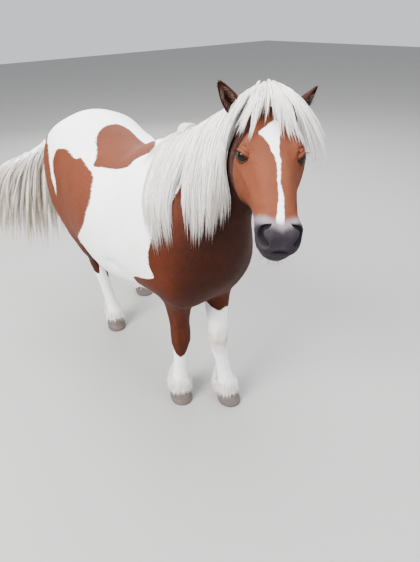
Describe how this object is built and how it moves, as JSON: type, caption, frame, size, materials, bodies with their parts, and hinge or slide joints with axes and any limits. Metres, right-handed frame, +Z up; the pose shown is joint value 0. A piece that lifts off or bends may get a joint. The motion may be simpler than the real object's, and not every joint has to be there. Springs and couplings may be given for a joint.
{
  "type": "shetland pony",
  "caption": "Chestnut and white Shetland pony standing with its head turned to its right, as a life-size still model.",
  "frame": {"origin": "middle of the box round the whole pony, at the height of the soles of its hooves", "axes": "+Z up, +X towards the breast and head, +Y to the pony's left"},
  "size_m": [1.5088, 0.6282, 1.1108],
  "materials": {
    "coat": "short hair, chestnut and white",
    "hair": "long wavy cream and white hair",
    "horn": "grey-brown hoof horn",
    "eye": "wet dark brown"
  },
  "bodies": {
    "root": {"neck": "coat", "forehand": "coat", "barrel": "coat", "hindquarters": "coat", "eye_right": "eye", "eye_left": "eye", "head": "coat", "ear_right": "coat", "ear_left": "coat", "fore_right_upper_leg": "coat", "fore_right_lower_leg": "coat", "fore_right_hoof": "horn", "fore_left_upper_leg": "coat", "fore_left_lower_leg": "coat", "fore_left_hoof": "horn", "hind_right_upper_leg": "coat", "hind_right_lower_leg": "coat", "hind_right_hoof": "horn", "hind_left_upper_leg": "coat", "hind_left_lower_leg": "coat", "hind_left_hoof": "horn", "tail_dock": "coat", "mane_right": "hair", "mane_left": "hair", "forelock": "hair", "tail_hair": "hair"}
  },
  "joints": []
}
